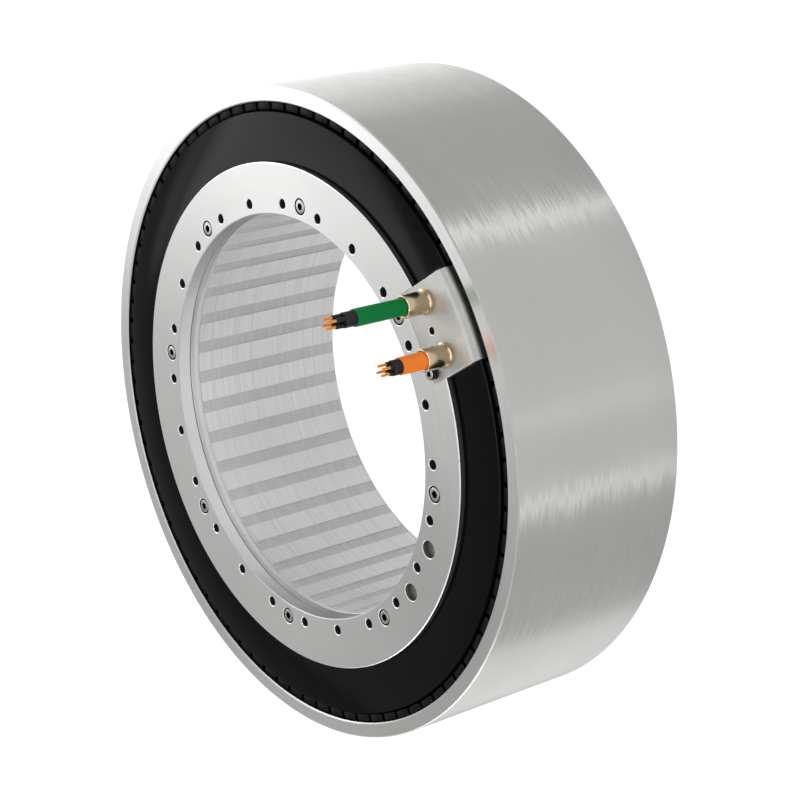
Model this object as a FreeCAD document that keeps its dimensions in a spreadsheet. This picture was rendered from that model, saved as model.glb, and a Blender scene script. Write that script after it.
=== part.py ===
import FreeCAD, Part
import math
import os
import re

import Sketcher

# Frameless outer-rotor torque motor, standing on its rear face.
# The origin is the centre of that face, +Z runs along the motor's axis to the cable side,
# and +X points from the axis to the cable block. Millimetres, degrees and plain counts.

SHEET = "Dimensions"

DIMENSIONS = (
    ("rotor_outer_radius", "192.5", "outside of the turning ring"),
    ("rotor_wall", "8.9", "radial wall of the ring"),
    ("rotor_length", "117", "axial length of the ring"),
    ("rotor_edge_break", "0.7", "chamfer on the front edges of the ring"),
    ("rotor_hole_inset", "4.5", "circle of the rear tapped holes, in from the outside"),
    ("rotor_hole_radius", "2.1", "tapping size for M5"),
    ("rotor_hole_depth", "12", "depth of the rear holes"),
    ("rotor_hole_count", "8", "rear holes"),
    ("magnet_count", "84", "magnets round the ring"),
    ("magnet_width", "10.9", "across the axis"),
    ("magnet_thickness", "4.7", "radial"),
    ("magnet_front_setback", "1.7", "from the front face of the ring"),
    ("magnet_rear_setback", "5", "from the rear face of the ring"),
    ("adhesive_gap", "0.2", "behind each magnet"),
    ("air_gap", "0.7", "between magnets and stator"),
    ("potting_face_width", "28.35", "black face, from the air gap to the front flange"),
    ("collar_setback", "2.65", "carrier's collar, in from the outside of the flange"),
    ("back_iron", "13", "core behind its slots, radial"),
    ("carrier_wall", "14", "from the pilot bore to the seat of the core"),
    ("bore_relief", "0.6", "carrier bore behind the pilot, on the radius"),
    ("flange_thickness", "8.2", "and length of the pilot bore"),
    ("flange_rise", "3.4", "flange face above the ring's front face"),
    ("tapped_hole_count", "24", "M6 holes in the flange"),
    ("tapped_hole_inset", "6.6", "circle of the M6 holes, out from the pilot bore"),
    ("tapped_hole_radius", "2.8", "M6 thread, mean size"),
    ("tapped_hole_depth", "7", "depth of the M6 holes"),
    ("flange_screw_count", "8", "socket-head screws of the flange"),
    ("flange_screw_inset", "8.2", "circle of these screws, out from the pilot bore"),
    ("flange_screw_phase", "7.5", "angle of the first screw from +X"),
    ("counterbore_radius", "4.9", "for M5 socket heads"),
    ("counterbore_depth", "5.3", "heads lie just below the face"),
    ("flange_screw_head_radius", "4.25", "M5 head"),
    ("flange_screw_head_height", "5", "M5 head"),
    ("flange_screw_shank_radius", "2.5", "M5 shank"),
    ("flange_screw_length", "16", "under the head"),
    ("thread_runout", "1", "of the screw holes below the screw tips"),
    ("dowel_hole_radius", "5.1", "flat-bottomed holes in the flange"),
    ("dowel_hole_depth", "3.2", "of the flat-bottomed holes"),
    ("dowel_hole_inset", "10.5", "circle of these holes, out from the pilot bore"),
    ("dowel_hole_angle", "-67.5", "angle of the first one from +X"),
    ("dowel_hole_spacing", "15", "angle between the two"),
    ("groove_count", "39", "axial grooves in the carrier's bore"),
    ("groove_width", "7.4", "across the axis"),
    ("groove_depth", "0.6", "into the bore wall"),
    ("groove_setback", "15.7", "from the flange face to the grooves' front ends"),
    ("groove_phase", "2.93", "angle of the first groove from +X"),
    ("potting_front_cover", "6.1", "resin in front of the end turns"),
    ("potting_rear_cover", "6", "resin behind the end turns"),
    ("potting_skin", "2.5", "resin outside the end turns"),
    ("end_turn_room", "6.2", "axial space of the end turns at each end"),
    ("slot_count", "72", "slots of the laminated core"),
    ("slot_width", "8.4", "straight-sided slots"),
    ("coil_side", "6.4", "width of one coil side"),
    ("coil_height", "5.4", "axial height of an end turn"),
    ("coil_clearance", "0.2", "round the tooth and at the core's ends"),
    ("slot_liner", "0.8", "room for insulation at the slot bottom"),
    ("fit_clearance", "0.05", "between seated round faces"),
    ("block_overlap", "13.25", "straight edge of the cable block, in from the flange's outside"),
    ("block_half_width", "26", "half of its width"),
    ("block_edge_radius", "4.5", "rounded outer edge of its top"),
    ("block_clearance", "0.1", "round the cable block"),
    ("block_tap_inset", "13.6", "small tapped hole, out from the straight edge"),
    ("block_tap_radius", "2.05", "small tapped hole"),
    ("block_tap_depth", "6", "small tapped hole"),
    ("block_screw_inset", "3.6", "its two screws, out from the straight edge"),
    ("block_screw_edge", "5.7", "its two screws, in from its sides"),
    ("block_screw_head_radius", "3.5", "M4 head"),
    ("block_screw_head_height", "4", "M4 head"),
    ("block_screw_shank_radius", "2", "M4 shank"),
    ("block_screw_length", "14", "under the head"),
    ("gland_inset", "17.9", "gland axes, out from the straight edge"),
    ("gland_edge", "10.8", "gland axes, in from the sides of the block"),
    ("gland_sleeve_radius", "6.3", "brass sleeve"),
    ("gland_collar_radius", "7.1", "collar at the foot of the sleeve"),
    ("gland_collar_height", "2.2", "collar at the foot of the sleeve"),
    ("gland_height", "16.3", "sleeve's mouth above the block"),
    ("gland_stub_radius", "5.6", "threaded stub in the block"),
    ("jacket_radius", "4.8", "coloured outer jacket"),
    ("inner_sheath_radius", "4.2", "black inner sheath"),
    ("core_radius", "1.25", "insulated core"),
    ("core_circle_radius", "2.65", "circle of the core axes"),
    ("core_count", "4", "cores in each cable"),
    ("core_sides", "8", "flats that stand for a round wire"),
    ("conductor_radius", "0.8", "bare copper"),
    ("signal_jacket_top", "51.5", "all cable ends are measured from the ring's front face"),
    ("signal_sheath_top", "58.7", ""),
    ("signal_core_top", "64.4", ""),
    ("signal_conductor_top", "70.1", ""),
    ("power_jacket_top", "35", ""),
    ("power_sheath_top", "40.2", ""),
    ("power_core_top", "42.6", ""),
    ("power_conductor_top", "47.7", ""),
)

# Sizes that follow from the driving ones.
FORMULAS = {
    "rotor_inner_radius": "rotor_outer_radius - rotor_wall",
    "rotor_hole_circle_radius": "rotor_outer_radius - rotor_hole_inset",
    "magnet_back": "rotor_inner_radius - adhesive_gap",
    "magnet_face": "magnet_back - magnet_thickness",
    "magnet_length": "rotor_length - magnet_front_setback - magnet_rear_setback",
    "stator_radius": "magnet_face - air_gap",
    "flange_outer_radius": "stator_radius - potting_face_width",
    "slot_bottom_radius": "flange_outer_radius - collar_setback",
    "carrier_outer_radius": "slot_bottom_radius - back_iron",
    "bore_radius": "carrier_outer_radius - carrier_wall",
    "tapped_hole_circle_radius": "bore_radius + tapped_hole_inset",
    "flange_screw_circle_radius": "bore_radius + flange_screw_inset",
    "dowel_hole_circle_radius": "bore_radius + dowel_hole_inset",
    "flange_face": "rotor_length + flange_rise",
    "flange_back": "flange_face - flange_thickness",
    "channel_radius": "stator_radius - potting_skin",
    "channel_top": "rotor_length - potting_front_cover",
    "core_front": "channel_top - end_turn_room",
    "core_rear": "potting_rear_cover + end_turn_room",
    "core_bore_radius": "carrier_outer_radius + fit_clearance",
    "core_outer_radius": "stator_radius - fit_clearance",
    "slot_pitch": "360 / slot_count",
    "tooth_width": "2 * core_outer_radius * sin(slot_pitch / 2) - slot_width",
    "block_inner_edge": "flange_outer_radius - block_overlap",
    "block_tap_place": "block_inner_edge + block_tap_inset",
    "block_screw_place": "block_inner_edge + block_screw_inset",
    "block_screw_offset": "block_half_width - block_screw_edge",
    "gland_place": "block_inner_edge + gland_inset",
    "gland_offset": "block_half_width - gland_edge",
    "block_outer_radius": "stator_radius",
    "pocket_inner_edge": "block_inner_edge - block_clearance",
    "pocket_half_width": "block_half_width + block_clearance",
    "seat_radius": "slot_bottom_radius + fit_clearance",
}

ORIGIN = FreeCAD.Vector(0, 0, 0)
UP = FreeCAD.Vector(0, 0, 1)

doc = FreeCAD.newDocument("FramelessMotor")
sheet = doc.addObject("Spreadsheet::Sheet", SHEET)
for row, (alias, text, note) in enumerate(DIMENSIONS, start=1):
    sheet.set(f"A{row}", alias)
    sheet.set(f"B{row}", text)
    sheet.set(f"C{row}", note)
    sheet.setAlias(f"B{row}", alias)
doc.recompute()

ALIASES = {alias for alias, text, note in DIMENSIONS}
parts = []


def bound(text):
    """Write an expression's size names out as cells of the sheet."""

    def swap(match):
        word = match.group(0)
        if word in FORMULAS:
            return f"({bound(FORMULAS[word])})"
        if word in ALIASES:
            return f"{SHEET}.{word}"
        return word

    return re.sub(r"[a-z_]+", swap, text)


def size(text):
    """Return the present value of an expression of size names."""
    found = sheet.evalExpression(bound(text))
    return float(getattr(found, "Value", found))


def kept(item, label):
    """Name a finished piece and list it for export."""
    item.Label = label
    parts.append(item)
    return item


def origin_feature(body, role):
    """Return the body's own plane or axis of that role."""
    return next(item for item in body.Origin.OriginFeatures if item.Role == role)


def sketch_on(body, name, role, height="0"):
    """Put an empty sketch on an origin plane, lifted along its normal by an expression."""
    sketch = body.newObject("Sketcher::SketchObject", name)
    sketch.AttachmentSupport = [(origin_feature(body, role), "")]
    sketch.MapMode = "FlatFace"
    sketch.setExpression("AttachmentOffset.Base.z", bound(height))
    return sketch


def pin(sketch, geometry, point, across, along):
    """Tie one point of a sketch to two size expressions, measured from the origin."""
    for kind, text in (("DistanceX", across), ("DistanceY", along)):
        rule = sketch.addConstraint(
            Sketcher.Constraint(kind, -1, 1, geometry, point, size(text))
        )
        sketch.setExpression(f"Constraints[{rule}]", bound(text))


def draw_outline(sketch, corners):
    """Draw a closed outline of straight lines through corners given as expressions."""
    spots = [FreeCAD.Vector(size(across), size(along), 0) for across, along in corners]
    count = len(spots)
    for place in range(count):
        line = Part.LineSegment(spots[place], spots[(place + 1) % count])
        sketch.addGeometry(line, False)
    for place in range(count):
        following = (place + 1) % count
        sketch.addConstraint(Sketcher.Constraint("Coincident", place, 2, following, 1))
    for place, (across, along) in enumerate(corners):
        pin(sketch, place, 1, across, along)


def draw_circle(sketch, across, along, radius):
    """Draw a circle whose centre and radius are expressions."""
    centre = FreeCAD.Vector(size(across), size(along), 0)
    circle = sketch.addGeometry(Part.Circle(centre, UP, size(radius)), False)
    pin(sketch, circle, 3, across, along)
    rule = sketch.addConstraint(Sketcher.Constraint("Radius", circle, size(radius)))
    sketch.setExpression(f"Constraints[{rule}]", bound(radius))


def turned(label, corners):
    """Turn a section, given as radius and height expressions, round the motor's axis."""
    body = doc.addObject("PartDesign::Body", label)
    section = sketch_on(body, f"{label}_section", "XZ_Plane")
    draw_outline(section, corners)
    turn = body.newObject("PartDesign::Revolution", f"{label}_turning")
    turn.Profile = section
    turn.ReferenceAxis = (section, ["V_Axis"])
    turn.Angle = 360
    doc.recompute()
    return kept(body, label)


def cut(body, sketch, depth, upward=False):
    """Cut a sketch into a body, downward unless told otherwise, and check that it cuts."""
    before = body.Shape.Volume
    pocket = body.newObject("PartDesign::Pocket", f"{sketch.Name}_cut")
    pocket.Profile = sketch
    pocket.setExpression("Length", bound(depth))
    pocket.Reversed = upward
    doc.recompute()
    if not body.Shape.Volume < before:
        raise ValueError(f"{pocket.Name} cuts nothing")
    return pocket


def repeat(body, feature, count):
    """Repeat a cut evenly round the motor's axis."""
    pattern = body.newObject("PartDesign::PolarPattern", f"{feature.Name}_ring")
    pattern.Originals = [feature]
    pattern.Axis = (origin_feature(body, "Z_Axis"), [""])
    pattern.Angle = 360
    pattern.setExpression("Occurrences", bound(count))
    body.Tip = pattern
    doc.recompute()


def hole_ring(body, name, height, circle, radius, depth, count, phase="0", upward=False):
    """Drill evenly spaced holes on a circle, from a height, into the body."""
    sketch = sketch_on(body, name, "XY_Plane", height)
    across = f"({circle}) * cos({phase})"
    along = f"({circle}) * sin({phase})"
    draw_circle(sketch, across, along, radius)
    repeat(body, cut(body, sketch, depth, upward), count)


def single_hole(body, name, height, across, along, radius, depth):
    """Drill one hole downward from a height."""
    sketch = sketch_on(body, name, "XY_Plane", height)
    draw_circle(sketch, across, along, radius)
    cut(body, sketch, depth)


def block_pocket(body, name, top, depth):
    """Cut the pocket that takes the cable block, open to the outside."""
    sketch = sketch_on(body, name, "XY_Plane", top)
    draw_outline(
        sketch,
        (
            ("pocket_inner_edge", "-pocket_half_width"),
            ("rotor_outer_radius", "-pocket_half_width"),
            ("rotor_outer_radius", "pocket_half_width"),
            ("pocket_inner_edge", "pocket_half_width"),
        ),
    )
    cut(body, sketch, depth)


def compound(label, solids):
    """Keep loose solids of one kind as a single piece of the document."""
    item = doc.addObject("Part::Feature", label)
    item.Shape = Part.makeCompound(solids)
    item.Placement = FreeCAD.Placement()
    return kept(item, label)


def spread(solid, count, phase):
    """Return copies of a solid spaced evenly round the motor's axis."""
    copies = []
    for place in range(round(count)):
        copy = solid.copy()
        copy.rotate(ORIGIN, UP, phase + place * 360 / count)
        copies.append(copy)
    return copies


def rod(radius, bottom, top):
    """Return a cylinder on the motor's axis between two heights."""
    return Part.makeCylinder(radius, top - bottom, FreeCAD.Vector(0, 0, bottom))


def socket_screw(head_radius, head_height, shank_radius, length, seat):
    """Return a cap screw on the origin's axis whose head rests at the seat's height."""
    head = rod(head_radius, seat, seat + head_height)
    shank = rod(shank_radius, seat - length, seat)
    return head.fuse(shank)


def make_rotor():
    """Turning ring with its rear tapped holes, and the magnets inside it."""
    ring = turned(
        "rotor_ring",
        (
            ("rotor_inner_radius", "0"),
            ("rotor_outer_radius", "0"),
            ("rotor_outer_radius", "rotor_length - rotor_edge_break"),
            ("rotor_outer_radius - rotor_edge_break", "rotor_length"),
            ("rotor_inner_radius + rotor_edge_break", "rotor_length"),
            ("rotor_inner_radius", "rotor_length - rotor_edge_break"),
        ),
    )
    hole_ring(
        ring,
        "rotor_holes",
        "0",
        "rotor_hole_circle_radius",
        "rotor_hole_radius",
        "rotor_hole_depth",
        "rotor_hole_count",
        upward=True,
    )
    magnet = Part.makeBox(
        size("magnet_thickness"),
        size("magnet_width"),
        size("magnet_length"),
        FreeCAD.Vector(
            size("magnet_face"), -size("magnet_width") / 2, size("magnet_rear_setback")
        ),
    )
    count = size("magnet_count")
    compound("rotor_magnets", spread(magnet, count, 180 / count))


def make_front_flange():
    """Bright flange with pilot bore, tapped holes, counterbores and dowel holes."""
    flange = turned(
        "front_flange",
        (
            ("bore_radius", "flange_back"),
            ("flange_outer_radius", "flange_back"),
            ("flange_outer_radius", "flange_face"),
            ("bore_radius", "flange_face"),
        ),
    )
    hole_ring(
        flange,
        "tapped_holes",
        "flange_face",
        "tapped_hole_circle_radius",
        "tapped_hole_radius",
        "tapped_hole_depth",
        "tapped_hole_count",
    )
    hole_ring(
        flange,
        "counterbores",
        "flange_face",
        "flange_screw_circle_radius",
        "counterbore_radius",
        "counterbore_depth",
        "flange_screw_count",
        "flange_screw_phase",
    )
    hole_ring(
        flange,
        "screw_holes",
        "flange_face",
        "flange_screw_circle_radius",
        "flange_screw_shank_radius + fit_clearance",
        "flange_thickness",
        "flange_screw_count",
        "flange_screw_phase",
    )
    for name, angle in (
        ("first_dowel_hole", "dowel_hole_angle"),
        ("second_dowel_hole", "dowel_hole_angle + dowel_hole_spacing"),
    ):
        single_hole(
            flange,
            name,
            "flange_face",
            f"dowel_hole_circle_radius * cos({angle})",
            f"dowel_hole_circle_radius * sin({angle})",
            "dowel_hole_radius",
            "dowel_hole_depth",
        )
    block_pocket(flange, "flange_notch", "flange_face", "flange_thickness")


def make_flange_screws():
    """Socket-head screws through the flange into the carrier."""
    screw = socket_screw(
        size("flange_screw_head_radius"),
        size("flange_screw_head_height"),
        size("flange_screw_shank_radius"),
        size("flange_screw_length"),
        size("flange_face - counterbore_depth"),
    )
    screw.translate(FreeCAD.Vector(size("flange_screw_circle_radius"), 0, 0))
    screws = spread(screw, size("flange_screw_count"), size("flange_screw_phase"))
    compound("flange_screws", screws)


def make_stator_carrier():
    """Sleeve with a collar that the core meets, and shallow grooves along its bore."""
    bore = "bore_radius + bore_relief"
    carrier = turned(
        "stator_carrier",
        (
            (bore, "0"),
            ("carrier_outer_radius", "0"),
            ("carrier_outer_radius", "core_front"),
            ("slot_bottom_radius", "core_front"),
            ("slot_bottom_radius", "flange_back"),
            (bore, "flange_back"),
        ),
    )
    hole_ring(
        carrier,
        "screw_threads",
        "flange_back",
        "flange_screw_circle_radius",
        "flange_screw_shank_radius + fit_clearance",
        "flange_screw_length + counterbore_depth - flange_thickness + thread_runout",
        "flange_screw_count",
        "flange_screw_phase",
    )
    for side in (-1, 1):
        single_hole(
            carrier,
            f"block_thread_{side + 2}",
            "flange_back",
            "block_screw_place",
            f"{side} * block_screw_offset",
            "block_screw_shank_radius + fit_clearance",
            "block_screw_length - flange_thickness + thread_runout",
        )
    groove = sketch_on(carrier, "groove", "XY_Plane")
    groove.setExpression("AttachmentOffset.Rotation.Angle", bound("groove_phase"))
    bottom = f"{bore} + groove_depth"
    draw_outline(
        groove,
        (
            ("bore_radius - groove_width", "-groove_width / 2"),
            (bottom, "-groove_width / 2"),
            (bottom, "groove_width / 2"),
            ("bore_radius - groove_width", "groove_width / 2"),
        ),
    )
    groove_cut = cut(carrier, groove, "flange_face - groove_setback", upward=True)
    repeat(carrier, groove_cut, "groove_count")


def make_core():
    """Laminated core with straight slots open to the air gap."""
    core = turned(
        "lamination_core",
        (
            ("core_bore_radius", "core_rear"),
            ("core_outer_radius", "core_rear"),
            ("core_outer_radius", "core_front"),
            ("core_bore_radius", "core_front"),
        ),
    )
    slot = sketch_on(core, "slot", "XY_Plane", "core_front")
    draw_outline(
        slot,
        (
            ("slot_bottom_radius", "-slot_width / 2"),
            ("rotor_outer_radius", "-slot_width / 2"),
            ("rotor_outer_radius", "slot_width / 2"),
            ("slot_bottom_radius", "slot_width / 2"),
        ),
    )
    repeat(core, cut(core, slot, "core_front - core_rear"), "slot_count")


def make_coils():
    """One plain coil round every second tooth, reaching out at both ends of the core."""
    inner_half = size("tooth_width / 2 + coil_clearance")
    outer_half = inner_half + size("coil_side")
    inner_radius = size("slot_bottom_radius + slot_liner")
    room = size("channel_radius - coil_clearance")
    outer_radius = math.sqrt(room**2 - outer_half**2)
    bottom = size("core_rear - coil_clearance")
    top = size("core_front + coil_clearance")
    height = size("coil_height")
    block = Part.makeBox(
        outer_radius - inner_radius,
        2 * outer_half,
        top - bottom + 2 * height,
        FreeCAD.Vector(inner_radius, -outer_half, bottom - height),
    )
    window = Part.makeBox(
        outer_radius - inner_radius,
        2 * inner_half,
        top - bottom,
        FreeCAD.Vector(inner_radius, -inner_half, bottom),
    )
    count = size("slot_count / 2")
    compound("winding_coils", spread(block.cut(window), count, size("slot_pitch / 2")))


def make_potting():
    """Resin covers over the end turns, flush with the air gap."""
    front = turned(
        "front_potting",
        (
            ("seat_radius", "channel_top"),
            ("channel_radius", "channel_top"),
            ("channel_radius", "core_front"),
            ("stator_radius", "core_front"),
            ("stator_radius", "rotor_length"),
            ("flange_outer_radius + fit_clearance", "rotor_length"),
            ("flange_outer_radius + fit_clearance", "flange_back"),
            ("seat_radius", "flange_back"),
        ),
    )
    block_pocket(front, "block_recess", "rotor_length", "rotor_length - flange_back")
    turned(
        "rear_potting",
        (
            ("core_bore_radius", "0"),
            ("stator_radius", "0"),
            ("stator_radius", "core_rear"),
            ("channel_radius", "core_rear"),
            ("channel_radius", "potting_rear_cover"),
            ("core_bore_radius", "potting_rear_cover"),
        ),
    )


def make_cable_block():
    """Block let into flange and potting: straight inside, round outside, with a soft edge."""
    block = doc.addObject("PartDesign::Body", "cable_block")
    outline = sketch_on(block, "block_outline", "XY_Plane", "flange_back")
    half = size("block_half_width")
    radius = size("block_outer_radius")
    inner = size("block_inner_edge")
    reach = math.sqrt(radius**2 - half**2)
    turn = math.asin(half / radius)
    circle = Part.Circle(ORIGIN, UP, radius)
    low_inner = FreeCAD.Vector(inner, -half, 0)
    low_outer = FreeCAD.Vector(reach, -half, 0)
    high_outer = FreeCAD.Vector(reach, half, 0)
    high_inner = FreeCAD.Vector(inner, half, 0)
    outline.addGeometry(Part.LineSegment(low_inner, low_outer), False)
    outline.addGeometry(Part.ArcOfCircle(circle, -turn, turn), False)
    outline.addGeometry(Part.LineSegment(high_outer, high_inner), False)
    outline.addGeometry(Part.LineSegment(high_inner, low_inner), False)
    outline.addConstraint(Sketcher.Constraint("Coincident", 0, 2, 1, 1))
    outline.addConstraint(Sketcher.Constraint("Coincident", 1, 2, 2, 1))
    outline.addConstraint(Sketcher.Constraint("Coincident", 2, 2, 3, 1))
    outline.addConstraint(Sketcher.Constraint("Coincident", 3, 2, 0, 1))
    outline.addConstraint(Sketcher.Constraint("Coincident", 1, 3, -1, 1))
    outline.addConstraint(Sketcher.Constraint("Horizontal", 0))
    outline.addConstraint(Sketcher.Constraint("Horizontal", 2))
    rule = outline.addConstraint(Sketcher.Constraint("Radius", 1, radius))
    outline.setExpression(f"Constraints[{rule}]", bound("block_outer_radius"))
    pin(outline, 0, 1, "block_inner_edge", "-block_half_width")
    pin(outline, 3, 1, "block_inner_edge", "block_half_width")
    pad = block.newObject("PartDesign::Pad", "block_body")
    pad.Profile = outline
    pad.setExpression("Length", bound("flange_thickness"))
    doc.recompute()
    top = size("flange_face")
    for place, edge in enumerate(block.Shape.Edges, start=1):
        centre = edge.CenterOfMass
        if abs(centre.z - top) < 0.01 and centre.x > radius - 1:
            rounded = f"Edge{place}"
    fillet = block.newObject("PartDesign::Fillet", "block_soft_edge")
    fillet.Base = (pad, [rounded])
    fillet.setExpression("Radius", bound("block_edge_radius"))
    doc.recompute()
    kept(block, "cable_block")
    single_hole(
        block,
        "block_tap",
        "flange_face",
        "block_tap_place",
        "0",
        "block_tap_radius",
        "block_tap_depth",
    )
    for side in (-1, 1):
        single_hole(
            block,
            f"block_screw_hole_{side + 2}",
            "flange_face",
            "block_screw_place",
            f"{side} * block_screw_offset",
            "block_screw_shank_radius + fit_clearance",
            "flange_thickness",
        )
        single_hole(
            block,
            f"gland_hole_{side + 2}",
            "flange_face",
            "gland_place",
            f"{side} * gland_offset",
            "gland_stub_radius + fit_clearance",
            "flange_thickness",
        )


def make_block_screws():
    """Two cap screws that stand proud on the cable block."""
    screws = []
    for side in (-1, 1):
        screw = socket_screw(
            size("block_screw_head_radius"),
            size("block_screw_head_height"),
            size("block_screw_shank_radius"),
            size("block_screw_length"),
            size("flange_face"),
        )
        place = FreeCAD.Vector(
            size("block_screw_place"), side * size("block_screw_offset"), 0
        )
        screw.translate(place)
        screws.append(screw)
    compound("block_screws", screws)


def gland_profile():
    """Return the gland's section as radius and height expressions."""
    bore = "jacket_radius + fit_clearance"
    mouth = "flange_face + gland_height"
    return (
        (bore, "flange_back"),
        ("gland_stub_radius", "flange_back"),
        ("gland_stub_radius", "flange_face"),
        ("gland_collar_radius", "flange_face"),
        ("gland_collar_radius", "flange_face + gland_collar_height"),
        ("gland_sleeve_radius", "flange_face + gland_collar_height"),
        ("gland_sleeve_radius", mouth),
        (bore, mouth),
    )


def make_gland(name, side):
    """Brass gland on its axis, with its stub in the block."""
    gland = turned(f"{name}_gland", gland_profile())
    gland.setExpression("Placement.Base.x", bound("gland_place"))
    gland.setExpression("Placement.Base.y", bound(f"{side} * gland_offset"))
    doc.recompute()


def cylinder(label, radius, bottom, top, side):
    """Add an upright cylinder on a gland axis between two height expressions."""
    item = doc.addObject("Part::Cylinder", label)
    item.setExpression("Radius", bound(radius))
    item.setExpression("Height", bound(f"({top}) - ({bottom})"))
    item.setExpression("Placement.Base.x", bound("gland_place"))
    item.setExpression("Placement.Base.y", bound(f"{side} * gland_offset"))
    item.setExpression("Placement.Base.z", bound(bottom))
    doc.recompute()
    return kept(item, label)


def wires(label, radius, bottom, top, side):
    """Keep the parallel wires of one cable as one piece with several solids."""
    sides = round(size("core_sides"))
    corners = []
    for place in range(sides + 1):
        turn = 2 * math.pi * place / sides
        corners.append(
            FreeCAD.Vector(
                size(radius) * math.cos(turn), size(radius) * math.sin(turn), size(bottom)
            )
        )
    face = Part.Face(Part.makePolygon(corners))
    wire = face.extrude(UP * size(f"({top}) - ({bottom})"))
    wire.translate(FreeCAD.Vector(size("core_circle_radius"), 0, 0))
    item = compound(label, spread(wire, size("core_count"), 0))
    item.Placement.Base = FreeCAD.Vector(
        size("gland_place"), side * size("gland_offset"), 0
    )


def make_cable(name, side):
    """Stiff cable stub, stripped in steps at its free end."""
    jacket_top = f"rotor_length + {name}_jacket_top"
    sheath_top = f"rotor_length + {name}_sheath_top"
    core_top = f"rotor_length + {name}_core_top"
    tip = f"rotor_length + {name}_conductor_top"
    cylinder(f"{name}_jacket", "jacket_radius", "flange_back", jacket_top, side)
    cylinder(f"{name}_inner_sheath", "inner_sheath_radius", jacket_top, sheath_top, side)
    wires(f"{name}_cores", "core_radius", sheath_top, core_top, side)
    wires(f"{name}_conductors", "conductor_radius", core_top, tip, side)


def check():
    """Stop if any object failed or any piece is empty or broken."""
    for item in doc.Objects:
        if "Invalid" in item.State or "Error" in item.State:
            raise ValueError(f"{item.Name} failed: {item.State}")
    for item in parts:
        if item.Shape.isNull() or not item.Shape.isValid():
            raise ValueError(f"{item.Label} has no valid shape")


def export():
    """Write each piece to its own file."""
    os.makedirs("parts", exist_ok=True)
    for item in parts:
        item.Shape.exportStep(f"parts/{item.Label}.step")


make_rotor()
make_front_flange()
make_flange_screws()
make_stator_carrier()
make_core()
make_coils()
make_potting()
make_cable_block()
make_block_screws()
for cable, cable_side in (("signal", 1), ("power", -1)):
    make_gland(cable, cable_side)
    make_cable(cable, cable_side)
doc.recompute()
check()
export()
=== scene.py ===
"""Frameless outer-rotor motor, dressed and lit as in its studio picture.

Places are in metres in the motor's own frame: the origin is the centre of the rear face, +Z runs
along the axis to the cable side, and +X points from the axis to the cable block.
"""

import logging
import math
from abc import ABC, abstractmethod
from collections.abc import Callable, Iterator, Sequence
from contextlib import contextmanager
from dataclasses import dataclass
from enum import Enum
from itertools import pairwise
from typing import Any

import bmesh
import bpy
from mathutils import Matrix, Vector


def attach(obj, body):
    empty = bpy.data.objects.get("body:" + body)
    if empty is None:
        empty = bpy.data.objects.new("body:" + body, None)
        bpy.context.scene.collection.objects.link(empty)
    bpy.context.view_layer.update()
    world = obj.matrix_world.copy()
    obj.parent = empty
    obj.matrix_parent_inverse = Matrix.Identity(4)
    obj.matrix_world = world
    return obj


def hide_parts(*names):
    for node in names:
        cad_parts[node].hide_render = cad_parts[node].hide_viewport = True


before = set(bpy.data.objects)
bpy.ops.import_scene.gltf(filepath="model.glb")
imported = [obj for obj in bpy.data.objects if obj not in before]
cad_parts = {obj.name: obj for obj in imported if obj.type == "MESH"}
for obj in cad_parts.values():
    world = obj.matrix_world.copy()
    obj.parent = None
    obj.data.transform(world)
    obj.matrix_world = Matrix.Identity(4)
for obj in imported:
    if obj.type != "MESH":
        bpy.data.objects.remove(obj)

log = logging.getLogger("motor")

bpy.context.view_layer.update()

MM = 0.001
# Points of a mesh that lie closer than this are one.
MERGED = 0.002 * MM
# Play of the tests that find faces and edges by their place: a narrow one and a wide one.
HAIR = 0.01 * MM
SLACK = 0.05 * MM
# How far a cutting shape stands out of what it cuts.
PAST = 1 * MM
# Tallest face that is taken for a broken edge.
CHAMFER = 0.8 * MM
# Heights, radii and widths that several pieces share.
FRONT_FACE = 120.4 * MM
FLANGE_BACK = 112.2 * MM
CORE_FRONT = 104.7 * MM
COVER_RADIUS = 178 * MM
NOTCH_FROM = 136.3 * MM
NOTCH_HALF = 26.1 * MM
# Upward part of a face's normal: less than the first is upright, more than the last is level.
UPRIGHT = 0.2
STEEP = 0.8
LEVEL = 0.95

Piece = bpy.types.Object
Material = bpy.types.Material
Socket = bpy.types.NodeSocket
Span = tuple[float, float]
Spot = tuple[float, float]
Place = tuple[float, float, float]
Section = Sequence[Spot]
Test = Callable[[Any], bool]


class Body(Enum):
    """The two bodies of the motor."""

    STATOR = "stator"
    ROTOR = "rotor"


class Cut(Enum):
    """How one piece shapes another."""

    AWAY = "DIFFERENCE"
    TO_SHAPE = "INTERSECT"


class Part(Enum):
    """What is selected while a piece is being shaped."""

    POINTS = "VERT"
    EDGES = "EDGE"
    FACES = "FACE"


# Bench: the few moves that every piece is made with.


def only(piece: Piece) -> None:
    """Select one piece and nothing else."""
    bpy.ops.object.select_all(action="DESELECT")
    piece.select_set(True)
    bpy.context.view_layer.objects.active = piece


@contextmanager
def shaping(piece: Piece, part: Part = Part.POINTS) -> Iterator[None]:
    """Hold a piece in edit mode with all of it selected."""
    only(piece)
    bpy.ops.object.mode_set(mode="EDIT")
    bpy.ops.mesh.select_mode(type=part.value)
    bpy.ops.mesh.select_all(action="SELECT")
    try:
        yield
    finally:
        bpy.ops.object.mode_set(mode="OBJECT")


def pick(piece: Piece, part: Part, fits: Test) -> None:
    """Select the points, edges or faces that fit, of a piece in edit mode."""
    bpy.ops.mesh.select_mode(type=part.value)
    bpy.ops.mesh.select_all(action="DESELECT")
    mesh = bmesh.from_edit_mesh(piece.data)
    found = {Part.POINTS: mesh.verts, Part.EDGES: mesh.edges, Part.FACES: mesh.faces}[part]
    for item in found:
        if fits(item):
            item.select_set(True)
    bmesh.update_edit_mesh(piece.data)


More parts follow.
